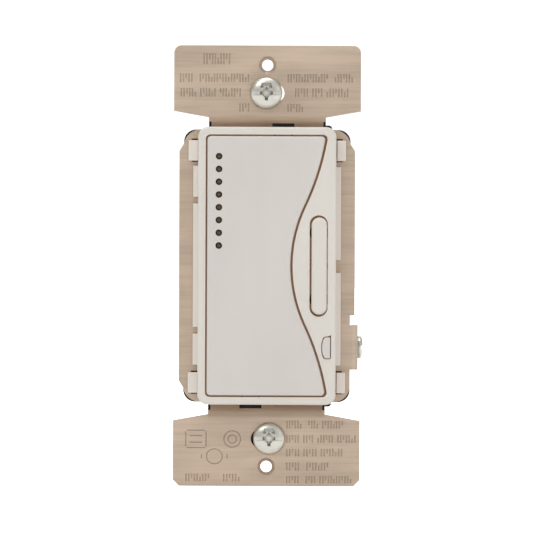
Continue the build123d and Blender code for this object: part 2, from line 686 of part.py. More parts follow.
# ---------------------------------------------------------------- power stage
POWER_REAR = POWER_BOARD[0] - POWER_BOARD[1]
with BuildPart() as power_board:
    with BuildSketch(front(POWER_BOARD[0])):
        RectangleRounded(21.0, 51.0, 0.8)
        with GridLocations(2 * BOARD_PEG_X, 2 * BOARD_PEG_Z, 2, 2):
            Circle(BOARD_PEG + 0.1, mode=Mode.SUBTRACT)
    extrude(amount=-POWER_BOARD[1])
pieces["power_board"] = power_board

TRANSISTOR_FACE = PLATE_BACK - 0.3
with BuildPart() as insulator_pad:
    with BuildSketch(rear(PLATE_BACK - 0.02)):
        with Locations((-1.15, 20.4)):
            RectangleRounded(21.3, 16.0, 0.6)
        with Locations(*[(-x, z) for x, z in TRANSISTOR_HOLES]):
            Circle(1.7, mode=Mode.SUBTRACT)
    extrude(amount=0.24)
pieces["insulator_pad"] = insulator_pad

with BuildPart() as transistor_tabs:
    with BuildSketch(rear(TRANSISTOR_FACE)):
        with Locations(*[(-x, z - 5.0) for x, z in TRANSISTOR_HOLES]):
            Rectangle(10.0, 15.0)
        with Locations(*[(-x, z) for x, z in TRANSISTOR_HOLES]):
            Circle(1.8, mode=Mode.SUBTRACT)
    extrude(amount=1.3)
pieces["transistor_tabs"] = transistor_tabs

with BuildPart() as transistor_legs:
    # Three legs each, bent back to the power board
    leg_width, leg_thick, leg_y = 0.8, 0.5, 4.4
    for x, z in TRANSISTOR_HOLES:
        for step in (-2.54, 0, 2.54):
            with BuildSketch(Plane.YZ.offset(x + step)):
                with BuildLine():
                    Polyline((leg_y, z - 12.55), (leg_y, z - 15.2), (-POWER_BOARD[0] - 0.05, z - 15.2))
                trace(line_width=leg_thick)
            extrude(amount=leg_width / 2, both=True)
pieces["transistor_legs"] = transistor_legs

with BuildPart() as transistor_bodies:
    with BuildSketch(rear(TRANSISTOR_FACE - 1.32)):
        with Locations(*[(-x, z - 8.0) for x, z in TRANSISTOR_HOLES]):
            RectangleRounded(10.2, 9.0, 0.3)
    extrude(amount=3.1)
pieces["transistor_bodies"] = transistor_bodies

tab_screws = [
    machine_screw(rear(TRANSISTOR_FACE - 1.32, x, z), 2.6, 1.5, TRANSISTOR_SHANK, 2.7, 0.7)
    for x, z in TRANSISTOR_HOLES
]
with BuildPart() as transistor_screws:
    for screw in tab_screws:
        add(screw)
pieces["transistor_screws"] = transistor_screws

CHOKE_Z, CHOKE_HEIGHT = 13.5, -22.3
with BuildPart() as choke_core:
    with BuildSketch(Plane(origin=(0, -CHOKE_HEIGHT, CHOKE_Z), x_dir=(1, 0, 0), z_dir=(0, 0, 1))) as ring:
        with Locations((5.6, 0)):
            RectangleRounded(3.6, 7.0, 0.5)
    revolve(axis=Axis((0, -CHOKE_HEIGHT, CHOKE_Z), (0, 1, 0)))
pieces["choke_core"] = choke_core

TURNS, WIRE = 22, 0.9
with BuildPart() as choke_winding:
    for turn in range(TURNS):
        angle = radians(30 + 300 * turn / (TURNS - 1))
        outward = Plane(
            origin=(0, -CHOKE_HEIGHT, CHOKE_Z),
            x_dir=(cos(angle), 0, sin(angle)),
            z_dir=(sin(angle), 0, -cos(angle)),
        )
        with BuildSketch(outward):
            with Locations((5.6, 0)):
                RectangleRounded(3.8 + 2 * WIRE, 7.2 + 2 * WIRE, 0.5 + WIRE)
                RectangleRounded(3.8, 7.2, 0.5, mode=Mode.SUBTRACT)
        extrude(amount=0.22, both=True)
pieces["choke_winding"] = choke_winding

with BuildPart() as film_capacitor:
    with BuildSketch(rear(POWER_REAR - 0.05, 0, -14.5)):
        Rectangle(17.5, 10.0)
    extrude(amount=9.0)
    fillet(film_capacitor.edges().filter_by(Axis.Y), 0.8)
    fillet(film_capacitor.faces().sort_by(Axis.Y)[-1].edges(), 0.5)
pieces["film_capacitor"] = film_capacitor

with BuildPart() as electrolytic_capacitor:
    with BuildSketch(Plane(origin=(5.2, 10.8, -21.5), x_dir=(1, 0, 0), z_dir=(0, 0, 1))):
        Circle(4.0)
    extrude(amount=12.5)
    fillet(electrolytic_capacitor.edges().filter_by(GeomType.CIRCLE), 0.5)
pieces["electrolytic_capacitor"] = electrolytic_capacitor

with BuildPart() as varistor:
    with BuildSketch(Plane(origin=(-4.8, 22.2, -2.0), x_dir=(1, 0, 0), z_dir=(0, 0, 1))):
        Circle(5.2)
    extrude(amount=3.6)
    fillet(varistor.edges().filter_by(GeomType.CIRCLE), 1.1)
pieces["varistor"] = varistor

with BuildPart() as fuse:
    with BuildSketch(flank(1, 2.0, -18.8, 0)):
        Circle(1.7)
    extrude(amount=7.0)
    fillet(fuse.edges().filter_by(GeomType.CIRCLE), 0.3)
pieces["fuse"] = fuse

# ---------------------------------------------------------------- air-gap contacts
with BuildPart() as airgap_leaf:
    with BuildSketch(Plane.XY.offset(TAB_Z - 1.4)):
        with BuildLine():
            Polyline((3.0, -CONTROL_REAR + 0.12), (5.2, -CONTROL_REAR + 0.12), (6.4, 5.95), (13.6, 5.95))
        trace(line_width=0.2)
    extrude(amount=2.8)
pieces["airgap_leaf"] = airgap_leaf

with BuildPart() as airgap_contact:
    with BuildSketch(Plane.XY.offset(TAB_Z - 1.4)):
        with BuildLine():
            Polyline((11.8, 6.5), (10.0, 6.5), (10.0, -POWER_BOARD[0] - 0.05))
        trace(line_width=0.6)
    extrude(amount=2.8)
pieces["airgap_contact"] = airgap_contact


# ---------------------------------------------------------------- rear housing
def bay_box(side, z, inner, outer, half, height_a, height_b, mode):
    """A block in the housing's side at z, from x = side * inner to side * outer, between two heights."""
    with BuildSketch(front(height_a)) as block:
        with Locations((side * (inner + outer) / 2, z)):
            Rectangle(outer - inner, 2 * half)
    extrude(block.sketch, amount=height_b - height_a, mode=mode)


with BuildPart() as rear_housing:
    with BuildSketch(front(PLATE_BACK)):
        RectangleRounded(2 * RIM_HALF, 2 * RIM_END, RIM_CORNER)
        RectangleRounded(2 * NECK_HALF, 2 * NECK_BLOCK_END, NECK_BLOCK_CORNER)
        with Locations((8.0, 0)):
            RectangleRounded(15.3, 67.9, 0.8)
    extrude(amount=-3.5)
    with BuildSketch(front(PLATE_BACK)):
        RectangleRounded(2 * BODY_HALF, 2 * BODY_END, 2.0)
    extrude(amount=HOUSING_BACK - PLATE_BACK)
    fillet(rear_housing.faces().sort_by(Axis.Y)[-1].edges(), 1.2)
    # A blank sunk panel on the back, and the groove that shows how far to strip a wire
    with BuildSketch(rear(HOUSING_BACK)):
        with Locations((0, 2.0)):
            RectangleRounded(19.0, 40.0, 1.0)
        with Locations((0, -24.5)):
            SlotOverall(15.9, 2.2)
    extrude(amount=-0.4, mode=Mode.SUBTRACT)
    # Shallow grip flutes on the two ends
    for end in (1, -1):
        with BuildSketch(Plane(origin=(0, 15.0, end * BODY_END), x_dir=(1, 0, 0), z_dir=(0, 0, end))):
            with GridLocations(2.6, 1, 7, 1):
                SlotOverall(16.0, 1.3, rotation=90)
        extrude(amount=-0.4, mode=Mode.SUBTRACT)
    # The cavity
    with BuildSketch(front(PLATE_BACK)):
        RectangleRounded(2 * (BODY_HALF - HOUSING_WALL), 2 * (BODY_END - HOUSING_WALL), 1.0)
    extrude(amount=HOUSING_BACK + HOUSING_WALL - PLATE_BACK, mode=Mode.SUBTRACT)
    inner_back = HOUSING_BACK + HOUSING_WALL
    # Solid blocks that the wire bays and the grounding screw's pocket are cut into
    for side, z in TERMINALS.values():
        bay_box(side, z, BAY_FLOOR - 1.2, BODY_HALF - 1, BAY_HALF + 1.2, -7.0, inner_back, Mode.ADD)
    bay_box(1, GROUND_Z, 12.6, BODY_HALF - 1, 3.4, -6.4, -13.0, Mode.ADD)
    # Columns for the screws that hold the housing on, and pegs for the power board
    with BuildSketch(front(PLATE_BACK)):
        with GridLocations(2 * HOUSING_SCREW_X, 2 * HOUSING_SCREW_Z, 2, 2):
            Circle(2.2)
    extrude(amount=inner_back - PLATE_BACK)
    with BuildSketch(front(SCREW_SEAT + 1.2)):
        with GridLocations(2 * HOUSING_SCREW_X, 2 * HOUSING_SCREW_Z, 2, 2):
            Rectangle(5.6, 5.1)
    extrude(amount=inner_back - SCREW_SEAT - 1.2)
    with BuildSketch(rear(POWER_REAR - 0.05)):
        with GridLocations(2 * BOARD_PEG_X, 2 * BOARD_PEG_Z, 2, 2):
            Circle(1.6)
    extrude(amount=POWER_REAR - 0.05 - inner_back)
    with BuildSketch(rear(POWER_BOARD[0] + 0.4)):
        with GridLocations(2 * BOARD_PEG_X, 2 * BOARD_PEG_Z, 2, 2):
            Circle(BOARD_PEG)
    extrude(amount=2.5)
    with BuildSketch(rear(PLATE_BACK)):
        with GridLocations(2 * HOUSING_SCREW_X, 2 * HOUSING_SCREW_Z, 2, 2):
            Circle(HOUSING_SHANK + 0.15)
    extrude(amount=30, mode=Mode.SUBTRACT)
    with BuildSketch(rear(SCREW_SEAT)):
        with GridLocations(2 * HOUSING_SCREW_X, 2 * HOUSING_SCREW_Z, 2, 2):
            Circle(2.0)
    extrude(amount=10, mode=Mode.SUBTRACT)
    # Wire bays: a plate ledge, a room for the clamp, two wire holes from the back, a slot for the solder tail
    for side, z in TERMINALS.values():
        bay_box(side, z, PLATE_FLOOR, 25, BAY_HALF, BAY_FRONT, BAY_BACK, Mode.SUBTRACT)
        bay_box(side, z, BAY_FLOOR, 25, BAY_HALF - 1.4, BAY_FRONT, BAY_BACK, Mode.SUBTRACT)
        bay_box(side, z, BAY_FLOOR - 2, BAY_FLOOR + 1, 1.3, BAY_FRONT, BAY_FRONT - 1.3, Mode.SUBTRACT)
        with BuildSketch(rear(BAY_BACK + 1)):
            with Locations((-side * WIRE_X, z + WIRE_Z), (-side * WIRE_X, z - WIRE_Z)):
                Circle(WIRE_BORE)
        extrude(amount=10, mode=Mode.SUBTRACT)
    # Room for the grounding flange and its screw
    with BuildSketch(front(PLATE_BACK)):
        with Locations((BODY_HALF + 1.5, -19.6)):
            Rectangle(3, 11.6)
    extrude(amount=-3.5, mode=Mode.SUBTRACT)
    with BuildSketch(flank(1, 13.8, GROUND_HEIGHT, GROUND_Z)):
        Circle(2.2)
    extrude(amount=8, mode=Mode.SUBTRACT)
    # Reliefs behind the carrier's lugs and the bezel's hooks
    with BuildSketch(front(PLATE_BACK)):
        for z in LUG_CENTRES:
            with Locations((LUG_LEG_X + 0.2, z), (-LUG_LEG_X - 0.2, z)):
                Rectangle(3.3, LUG_LENGTH + 0.75)
        with Locations((3.85, 32.05), (-3.85, -32.05)):
            Rectangle(4.7, 3.3)
    extrude(amount=-2.7, mode=Mode.SUBTRACT)
pieces["rear_housing"] = rear_housing

corner_screws = [
    machine_screw(rear(SCREW_SEAT, x, z), 1.85, 1.4, HOUSING_SHANK, -0.35 - SCREW_SEAT, 0.6)
    for x in (-HOUSING_SCREW_X, HOUSING_SCREW_X)
    for z in (-HOUSING_SCREW_Z, HOUSING_SCREW_Z)
]
with BuildPart() as housing_screws:
    for screw in corner_screws:
        add(screw)
pieces["housing_screws"] = housing_screws

# ---------------------------------------------------------------- terminals
SCREW_HEAD, SCREW_HEAD_HEIGHT = 3.4, 1.8
CLAMP_INNER = PLATE_TOP + 0.1
for name, (side, z) in TERMINALS.items():
    with BuildPart() as terminal_plate:
        with BuildSketch(flank(side, side * PLATE_FLOOR, TERMINAL_HEIGHT, z)):
            Rectangle(11.2, 2 * BAY_HALF - 0.3)
            Circle(SCREW_SHANK + RUNNING_GAP, mode=Mode.SUBTRACT)
        extrude(amount=PLATE_TOP - PLATE_FLOOR)
        # A solder tail runs through the bay's wall and back to the power board
        with BuildSketch(Plane.XY.offset(z - 1.0)):
            with BuildLine():
                Polyline(
                    (side * (PLATE_TOP - 0.5), 10.4),
                    (side * (PLATE_TOP - 0.5), 8.85),
                    (side * 9.9, 8.85),
                    (side * 9.9, -POWER_BOARD[0] - 0.05),
                )
            trace(line_width=0.8)
        extrude(amount=2.0)
    pieces[f"{name}_terminal"] = terminal_plate

    with BuildPart() as clamp_plate:
        with BuildSketch(flank(side, side * CLAMP_INNER, TERMINAL_HEIGHT, z)):
            RectangleRounded(8.6, 2 * BAY_HALF - 0.8, 0.8)
            Circle(SCREW_SHANK + 0.15, mode=Mode.SUBTRACT)
        extrude(amount=CLAMP_THICK)
    pieces[f"{name}_clamp"] = clamp_plate

    base = flank(side, side * (CLAMP_INNER + CLAMP_THICK), TERMINAL_HEIGHT, z)
    pieces[f"{name}_screw"] = machine_screw(
        base, SCREW_HEAD, SCREW_HEAD_HEIGHT, SCREW_SHANK, CLAMP_INNER + CLAMP_THICK - BAY_FLOOR - 0.2
    )

with BuildPart() as ground_washer:
    with BuildSketch(flank(1, TAB_OUTER + 0.02, GROUND_HEIGHT, GROUND_Z)):
        Circle(2.7)
        Circle(SCREW_SHANK + RUNNING_GAP, mode=Mode.SUBTRACT)
    extrude(amount=0.3)
pieces["ground_washer"] = ground_washer
pieces["ground_screw"] = machine_screw(
    flank(1, TAB_OUTER + 0.34, GROUND_HEIGHT, GROUND_Z), 2.75, 1.0, SCREW_SHANK, 8.0, 0.8
)

# ---------------------------------------------------------------- box screws and their retainers
# Each fibre washer rides in its recess behind an ear and turns on the slim neck of its screw
BOX_SCREWS = {"top": (-0.28, BOX_SCREW_Z, 0.0), "bottom": (0.67, -BOX_SCREW_Z, -0.9)}
for name, (x, z, retainer_shift) in BOX_SCREWS.items():
    pieces[f"{name}_mounting_screw"] = machine_screw(
        front(UNDER_HEAD, x, z), BOX_HEAD, BOX_HEAD_HEIGHT, SCREW_SHANK, BOX_SHANK_LENGTH, 1.1,
        neck=(SCREW_SHANK - SCREW_NECK, UNDER_HEAD + THREAD_START),
    )
    with BuildPart() as retainer:
        with BuildSketch(front(0.05, x, z)):
            with Locations((retainer_shift, 0)):
                Circle(RETAINER)
            Circle(SCREW_NECK + RUNNING_GAP, mode=Mode.SUBTRACT)
        extrude(amount=RETAINER_THICK)
    pieces[f"{name}_retainer"] = retainer

os.makedirs("parts", exist_ok=True)
for name, piece in pieces.items():
    piece.part.label = name
    export_step(piece.part, f"parts/{name}.step")
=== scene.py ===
"""Looks of a wall-box dimmer: an almond tap paddle, a rocker and an air-gap tab on a brushed metal strap."""

import json
import math

import bmesh
import bpy
from mathutils import Matrix, Vector


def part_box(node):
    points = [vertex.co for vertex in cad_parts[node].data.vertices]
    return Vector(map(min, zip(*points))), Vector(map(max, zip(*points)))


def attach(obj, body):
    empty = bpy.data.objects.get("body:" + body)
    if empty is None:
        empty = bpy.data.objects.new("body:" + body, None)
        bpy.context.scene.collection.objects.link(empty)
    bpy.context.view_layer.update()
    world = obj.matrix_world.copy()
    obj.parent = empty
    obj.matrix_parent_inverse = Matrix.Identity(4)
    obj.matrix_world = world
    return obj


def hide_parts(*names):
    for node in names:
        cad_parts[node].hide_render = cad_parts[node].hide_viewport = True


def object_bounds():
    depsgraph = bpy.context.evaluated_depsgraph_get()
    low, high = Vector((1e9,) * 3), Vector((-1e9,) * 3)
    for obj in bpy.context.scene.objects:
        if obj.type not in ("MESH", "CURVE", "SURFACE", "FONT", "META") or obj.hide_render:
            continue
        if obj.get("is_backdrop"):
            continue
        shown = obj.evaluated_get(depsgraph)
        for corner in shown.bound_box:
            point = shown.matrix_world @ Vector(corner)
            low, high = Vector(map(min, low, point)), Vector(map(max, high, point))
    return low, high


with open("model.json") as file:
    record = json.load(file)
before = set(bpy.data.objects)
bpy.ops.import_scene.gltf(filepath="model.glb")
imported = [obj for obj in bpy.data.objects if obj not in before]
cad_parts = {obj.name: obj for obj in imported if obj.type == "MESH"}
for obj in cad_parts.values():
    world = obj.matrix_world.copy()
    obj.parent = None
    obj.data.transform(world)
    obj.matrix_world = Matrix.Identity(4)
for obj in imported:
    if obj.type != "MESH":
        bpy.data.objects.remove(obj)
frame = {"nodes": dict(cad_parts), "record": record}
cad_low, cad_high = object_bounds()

MM = 0.001
NODES = frame["nodes"]


# ---------------------------------------------------------------- material building
def srgb(red, green, blue):
    """A linear colour from 0 to 255 screen values."""
    def linear(value):
        value /= 255
        return value / 12.92 if value <= 0.04045 else ((value + 0.055) / 1.055) ** 2.4

    return (linear(red), linear(green), linear(blue), 1.0)


class Recipe:
    """One node material, with short ways to add the patterns that moulded and machined surfaces need."""

    def __init__(self, name, roughness, metallic=0.0):
        self.material = bpy.data.materials.new(name)
        self.material.use_nodes = True
        self.tree = self.material.node_tree
        self.shader = self.tree.nodes["Principled BSDF"]
        self.put("Roughness", roughness)
        self.put("Metallic", metallic)
        self.where = self.add("ShaderNodeTexCoord").outputs["Object"]

    def put(self, socket, value):
        """Sets or links one input of the shader."""
        self.fill(self.shader.inputs[socket], value)

    def fill(self, socket, value):
        if isinstance(value, bpy.types.NodeSocket):
            self.tree.links.new(value, socket)
        else:
            socket.default_value = value

    def add(self, kind, inputs=None, **settings):
        node = self.tree.nodes.new(kind)
        for key, value in settings.items():
            setattr(node, key, value)
        for key, value in (inputs or {}).items():
            self.fill(node.inputs[key], value)
        return node

    def noise(self, size, stretch=(1, 1, 1), detail=3.0, rough=0.55):
        """Noise whose features are about size millimetres, stretched along the axes."""
        scale = [1 / (size * MM * s) for s in stretch]
        mapping = self.add("ShaderNodeMapping", {"Vector": self.where, "Scale": scale})
        inputs = {"Vector": mapping.outputs["Vector"], "Scale": 1.0, "Detail": detail, "Roughness": rough}
        return self.add("ShaderNodeTexNoise", inputs).outputs["Fac"]

    def mean(self, *fields):
        """The average of several number fields."""
        total = fields[0]
        for field in fields[1:]:
            total = self.add("ShaderNodeMath", {0: total, 1: field}, operation="ADD").outputs[0]
        return self.add("ShaderNodeMath", {0: total, 1: 1 / len(fields)}, operation="MULTIPLY").outputs[0]

    def blend(self, factor, low, high, start=0.3, end=0.7):
        """A smooth ramp from the low colour to the high one."""
        ramp = self.add("ShaderNodeValToRGB", {"Fac": factor})
        ramp.color_ramp.elements[0].position = start
        ramp.color_ramp.elements[1].position = end
        ramp.color_ramp.elements[0].color = low
        ramp.color_ramp.elements[1].color = high
        return ramp.outputs["Color"]

    def span(self, factor, low, high):
        """A number from low to high as factor goes from 0.3 to 0.7, which is where noise lies."""
        inputs = {"Value": factor, "From Min": 0.3, "From Max": 0.7, "To Min": low, "To Max": high}
        return self.add("ShaderNodeMapRange", inputs).outputs["Result"]

    def painted_crevice_shade(self, colour, dark, reach, start, end):
        """Colours the surface, with painted shade that makes it darker and duller in slots and seams narrower
        than about reach millimetres.
        """
        light = self.add("ShaderNodeAmbientOcclusion", {"Distance": reach * MM}, samples=8).outputs["AO"]
        limits = {"Value": light, "From Min": start, "From Max": end}
        openness = self.add("ShaderNodeMapRange", limits).outputs["Result"]
        mix = self.add("ShaderNodeMixRGB", {"Fac": openness, "Color1": dark, "Color2": colour})
        self.put("Base Color", mix.outputs["Color"])
        shine = {"Value": openness, "To Min": 0.02, "To Max": 0.45}
        self.put("Specular IOR Level", self.add("ShaderNodeMapRange", shine).outputs["Result"])

    def bump(self, height, depth):
        """Adds relief of depth millimetres to the surface normal."""
        inputs = {"Height": height, "Distance": depth * MM, "Strength": 1.0}
        self.put("Normal", self.add("ShaderNodeBump", inputs).outputs["Normal"])


def shade(colour, factor):
    """The colour made darker or lighter by a factor."""
    return tuple(channel * factor for channel in colour[:3]) + (1.0,)


# painted shade colour for narrow seams in the almond plastic, and a faint painted glow standing in for light
# through it
SEAM_SHADE_BROWN = srgb(62, 41, 25)
SEAM_GLOW = srgb(66, 44, 28)


def moulded(name, colour, roughness, texture=0.35, depth=0.006, mottle=0.03, seam_shade=None):
    """Injection-moulded plastic: a fine spark-eroded texture, faint flow marks and slightly uneven gloss.

    Seam shade is the painted shade colour of narrow gaps in a translucent plastic. It also makes the whole
    surface give off a faint brown light, which stands in for light that passes through the plastic.
    """
    recipe = Recipe(name, roughness)
    flow = recipe.noise(14, (1, 1, 2.5), detail=2)
    tint = recipe.blend(flow, shade(colour, 1 - mottle), shade(colour, 1 + mottle))
    # painted shade: the tint turns darker, to the seam shade colour where given, in narrow seams and slots
    recipe.painted_crevice_shade(tint, seam_shade or shade(colour, 0.5), 0.8, 0.15, 0.5)
    if seam_shade:
        recipe.put("Emission Color", SEAM_GLOW)
        recipe.put("Emission Strength", 1.0)
    fine = recipe.noise(texture, detail=4)
    recipe.put("Roughness", recipe.span(fine, roughness - 0.04, roughness + 0.06))
    recipe.bump(fine, depth)
    return recipe.material


def brushed(name, colour, roughness, metallic=0.7, depth=0.004, contrast=0.1):
    """Rolled sheet with a crosswise grain: fine hairlines, broader streaks and slow changes of tone."""
    recipe = Recipe(name, roughness, metallic)
    hairlines = recipe.noise(0.3, (45, 3, 1), detail=4, rough=0.75)
    streaks = recipe.noise(1.1, (30, 2, 1), detail=3, rough=0.6)
    cloud = recipe.noise(10, (2, 1, 0.6), detail=2)
    tone = recipe.mean(hairlines, streaks, cloud)
    tint = recipe.blend(tone, shade(colour, 1 - contrast), shade(colour, 1 + contrast), 0.42, 0.58)
    # painted shade: darker, duller colour in the stamped strokes and other narrow recesses
    recipe.painted_crevice_shade(tint, shade(colour, 0.52), 0.5, 0.3, 0.8)
    recipe.put("Roughness", recipe.span(hairlines, roughness - 0.07, roughness + 0.08))
    recipe.bump(recipe.mean(hairlines, streaks), depth)
    return recipe.material


def plated(name, colour, roughness, metallic=1.0, contrast=0.05):
    """Bright plating with faintly cloudy tone, handling marks and painted shade in recesses."""
    recipe = Recipe(name, roughness, metallic)
    cloud = recipe.noise(3.5, detail=2)
    tint = recipe.blend(cloud, shade(colour, 1 - contrast), shade(colour, 1 + contrast))
    # painted shade: much darker colour in screw recesses and other narrow hollows
    recipe.painted_crevice_shade(tint, shade(colour, 0.25), 0.9, 0.25, 0.75)
    marks = recipe.noise(0.8, (3, 1, 1), detail=2)
    recipe.put("Roughness", recipe.span(marks, roughness - 0.04, roughness + 0.07))
    recipe.bump(marks, 0.0015)
    return recipe.material


FINISH = {
    "face_plastic": moulded("almond_face", srgb(200, 199, 196), 0.42, seam_shade=SEAM_SHADE_BROWN),
    "ivory_plastic": moulded("almond_frame", srgb(219, 216, 210), 0.45, seam_shade=SEAM_SHADE_BROWN),
    "light_pipe": moulded("smoked_light_pipe", srgb(104, 88, 68), 0.3, texture=0.5, depth=0.004, mottle=0.2),
    "silicone": moulded("silicone", srgb(150, 150, 146), 0.6),
    "led": moulded("led_resin", srgb(214, 206, 170), 0.3),
    "circuit_board": moulded("solder_mask", srgb(24, 84, 44), 0.35, texture=2.0, mottle=0.15),
    "chip_black": moulded("chip_epoxy", srgb(26, 26, 28), 0.55),
    "tinned": plated("tin", srgb(200, 200, 196), 0.3),
    "zinc_screw": plated("zinc_plate", srgb(216, 214, 204), 0.3),
    "core_coat": moulded("core_enamel", srgb(196, 176, 84), 0.5),
    "copper": plated("enamelled_copper", srgb(186, 96, 44), 0.25),
    "capacitor_film": moulded("capacitor_case", srgb(176, 140, 52), 0.45),
    "capacitor_can": moulded("capacitor_sleeve", srgb(24, 30, 52), 0.3),
    "varistor_blue": moulded("varistor_dip", srgb(28, 74, 150), 0.4),
    "fuse_body": moulded("fuse_ceramic", srgb(220, 216, 200), 0.5),
    "brass": plated("brass", srgb(214, 178, 96), 0.25),
    "black_plastic": moulded("black_housing", srgb(32, 30, 29), 0.5, texture=0.45, depth=0.02, mottle=0.12),
    "black_fibre": moulded("black_fibre", srgb(22, 21, 20), 0.75, texture=0.3, depth=0.03, mottle=0.3),
    "strap": brushed("brushed_strap", srgb(196, 177, 158), 0.45),
}
# painted highlight: a lighter copy of the face plastic, used on the bezel and the rocker
LIT_FACE_COPY = moulded("almond_face_lit_copy", srgb(207, 206, 200), 0.42, seam_shade=SEAM_SHADE_BROWN)
SLOT_OF = {part["node"]: part["material_slot"] for part in frame["record"]["subparts"]}
for name, node in NODES.items():
    node.data.materials.clear()
    node.data.materials.append(LIT_FACE_COPY if name in ("bezel", "rocker") else FINISH[SLOT_OF[name]])


# ---------------------------------------------------------------- mesh building
SHARP_ANGLE = 35  # degrees between faces that meet at a crisp edge
CUT_SHARP_ANGLE = 30  # the same, after a cut
WELD_GAP = 0.001 * MM
SQUARE_ON = 0.9999  # a face whose normal has a part this large lies square to an axis


def body_of(node_name):
    """The name of the body that a CAD node belongs to."""
    bodies = frame["record"]["behaviour"]["bodies"]
    return next(body for body, members in bodies.items() if node_name in members)


def stand_in(name, mesh, node_name):
    """A new piece that is shown in place of a CAD node, on its body and in its finish."""
    mesh.materials.clear()
    mesh.materials.append(FINISH[SLOT_OF[node_name]])
    piece = bpy.data.objects.new(name, mesh)
    bpy.context.scene.collection.objects.link(piece)
    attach(piece, body_of(node_name))
    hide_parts(node_name)
    return piece


def finished_mesh(bm, name):
    """A mesh from bm, smooth except across its sharp edges."""
    bmesh.ops.recalc_face_normals(bm, faces=bm.faces)
    mesh = bpy.data.meshes.new(name)
    bm.to_mesh(mesh)
    bm.free()
    for stored in [layer.name for layer in mesh.attributes if layer.name == "custom_normal"]:
        mesh.attributes.remove(mesh.attributes[stored])
    mesh.shade_smooth()
    mesh.set_sharp_from_angle(angle=math.radians(SHARP_ANGLE))
    return mesh


def cut(mesh, cutter, name):
    """Mesh without the space that the closed cutter mesh takes up."""
    target = bpy.data.objects.new("target", mesh)
    tool = bpy.data.objects.new("tool", cutter)
    for obj in (target, tool):
        bpy.context.scene.collection.objects.link(obj)
    modifier = target.modifiers.new("cut", "BOOLEAN")
    modifier.object = tool
    modifier.solver = "EXACT"
    modifier.use_self = True
    graph = bpy.context.evaluated_depsgraph_get()
    result = bpy.data.meshes.new_from_object(target.evaluated_get(graph))
    result.name = name
    for face in result.polygons:
        face.use_smooth = max(abs(component) for component in face.normal) < SQUARE_ON
    result.set_sharp_from_angle(angle=math.radians(CUT_SHARP_ANGLE))
    for obj in (target, tool):
        bpy.data.objects.remove(obj)
    return result


def skin(bm, rings):
    """Quads between rings of the same number of vertices, with a flat face on each end."""
    loops = [[bm.verts.new(point) for point in ring] for ring in rings]
    count = len(loops[0])
    for lower, upper in zip(loops, loops[1:]):
        for i in range(count):
            j = (i + 1) % count
            bm.faces.new((lower[i], lower[j], upper[j], upper[i]))
    bm.faces.new(reversed(loops[0]))
    bm.faces.new(loops[-1])


# ---------------------------------------------------------------- strap with stamped marks
STAMP_DEPTH = 0.14
STROKE = 0.3
FINE_STROKE = 0.24
STROKE_TOP = 0.6  # half of a stroke's width at its top and at its floor, as shares of the stroke
STROKE_FLOOR = 0.25
PROUD = 0.05  # how far a cutter stands out of the face that it cuts
CUT_SHORT = 0.42  # the part of a tally stroke's height that a short one lacks
EAR_FRONT_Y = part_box("strap")[0].y / MM


def groove(bm, start, end, width=STROKE):
    """A tapered cutter along a stroke on the ears' front, from start to end in x and z, in millimetres."""
    start, end = Vector(start), Vector(end)
    along = (end - start).normalized()
    across = Vector((-along.y, along.x))
    rings = []
    top = (EAR_FRONT_Y - PROUD, STROKE_TOP * width)
    bottom = (EAR_FRONT_Y + STAMP_DEPTH, STROKE_FLOOR * width)
    for y, half in (top, bottom):
        corners = []
        for end_point, way in ((start, -1), (end, 1)):
            for side in (-way, way):
                spot = end_point + along * (way * half) + across * (side * half)
                corners.append(Vector((spot.x, y, spot.y)) * MM)
        rings.append(corners)
    skin(bm, rings)


def ring_groove(bm, centre, radius_x, radius_z, width, steps=40):
    """A round or oval cutter with the same section as a groove."""
    profile = [(-STROKE_TOP, -PROUD), (STROKE_TOP, -PROUD),
               (STROKE_FLOOR, STAMP_DEPTH), (-STROKE_FLOOR, STAMP_DEPTH)]
    loops = []
    for step in range(steps):
        angle = math.tau * step / steps
        loop = []
        for reach, depth in profile:
            x = centre[0] + (radius_x + reach * width) * math.cos(angle)
            z = centre[1] + (radius_z + reach * width) * math.sin(angle)
            loop.append(bm.verts.new(Vector((x, EAR_FRONT_Y + depth, z)) * MM))
        loops.append(loop)
    for here, there in zip(loops, loops[1:] + loops[:1]):
        for i in range(len(profile)):
            j = (i + 1) % len(profile)
            bm.faces.new((here[i], here[j], there[j], there[i]))


def tally(bm, left, right, top, bottom, groups, pitch=0.68):
    """A row of plain strokes with gaps between groups.

    Every third stroke is short, at its foot and at its top in turn.
    """
    strokes = round((right - left) / pitch)
    gaps = {round(strokes * share) for share in groups}
    for i in range(strokes + 1):
        if i in gaps:
            continue
        x = left + (right - left) * i / strokes
        low = bottom + (CUT_SHORT * (top - bottom) if i % 6 == 2 else 0)
        high = top - (CUT_SHORT * (top - bottom) if i % 6 == 5 else 0)
        groove(bm, (x, low + STROKE / 2), (x, high - STROKE / 2))


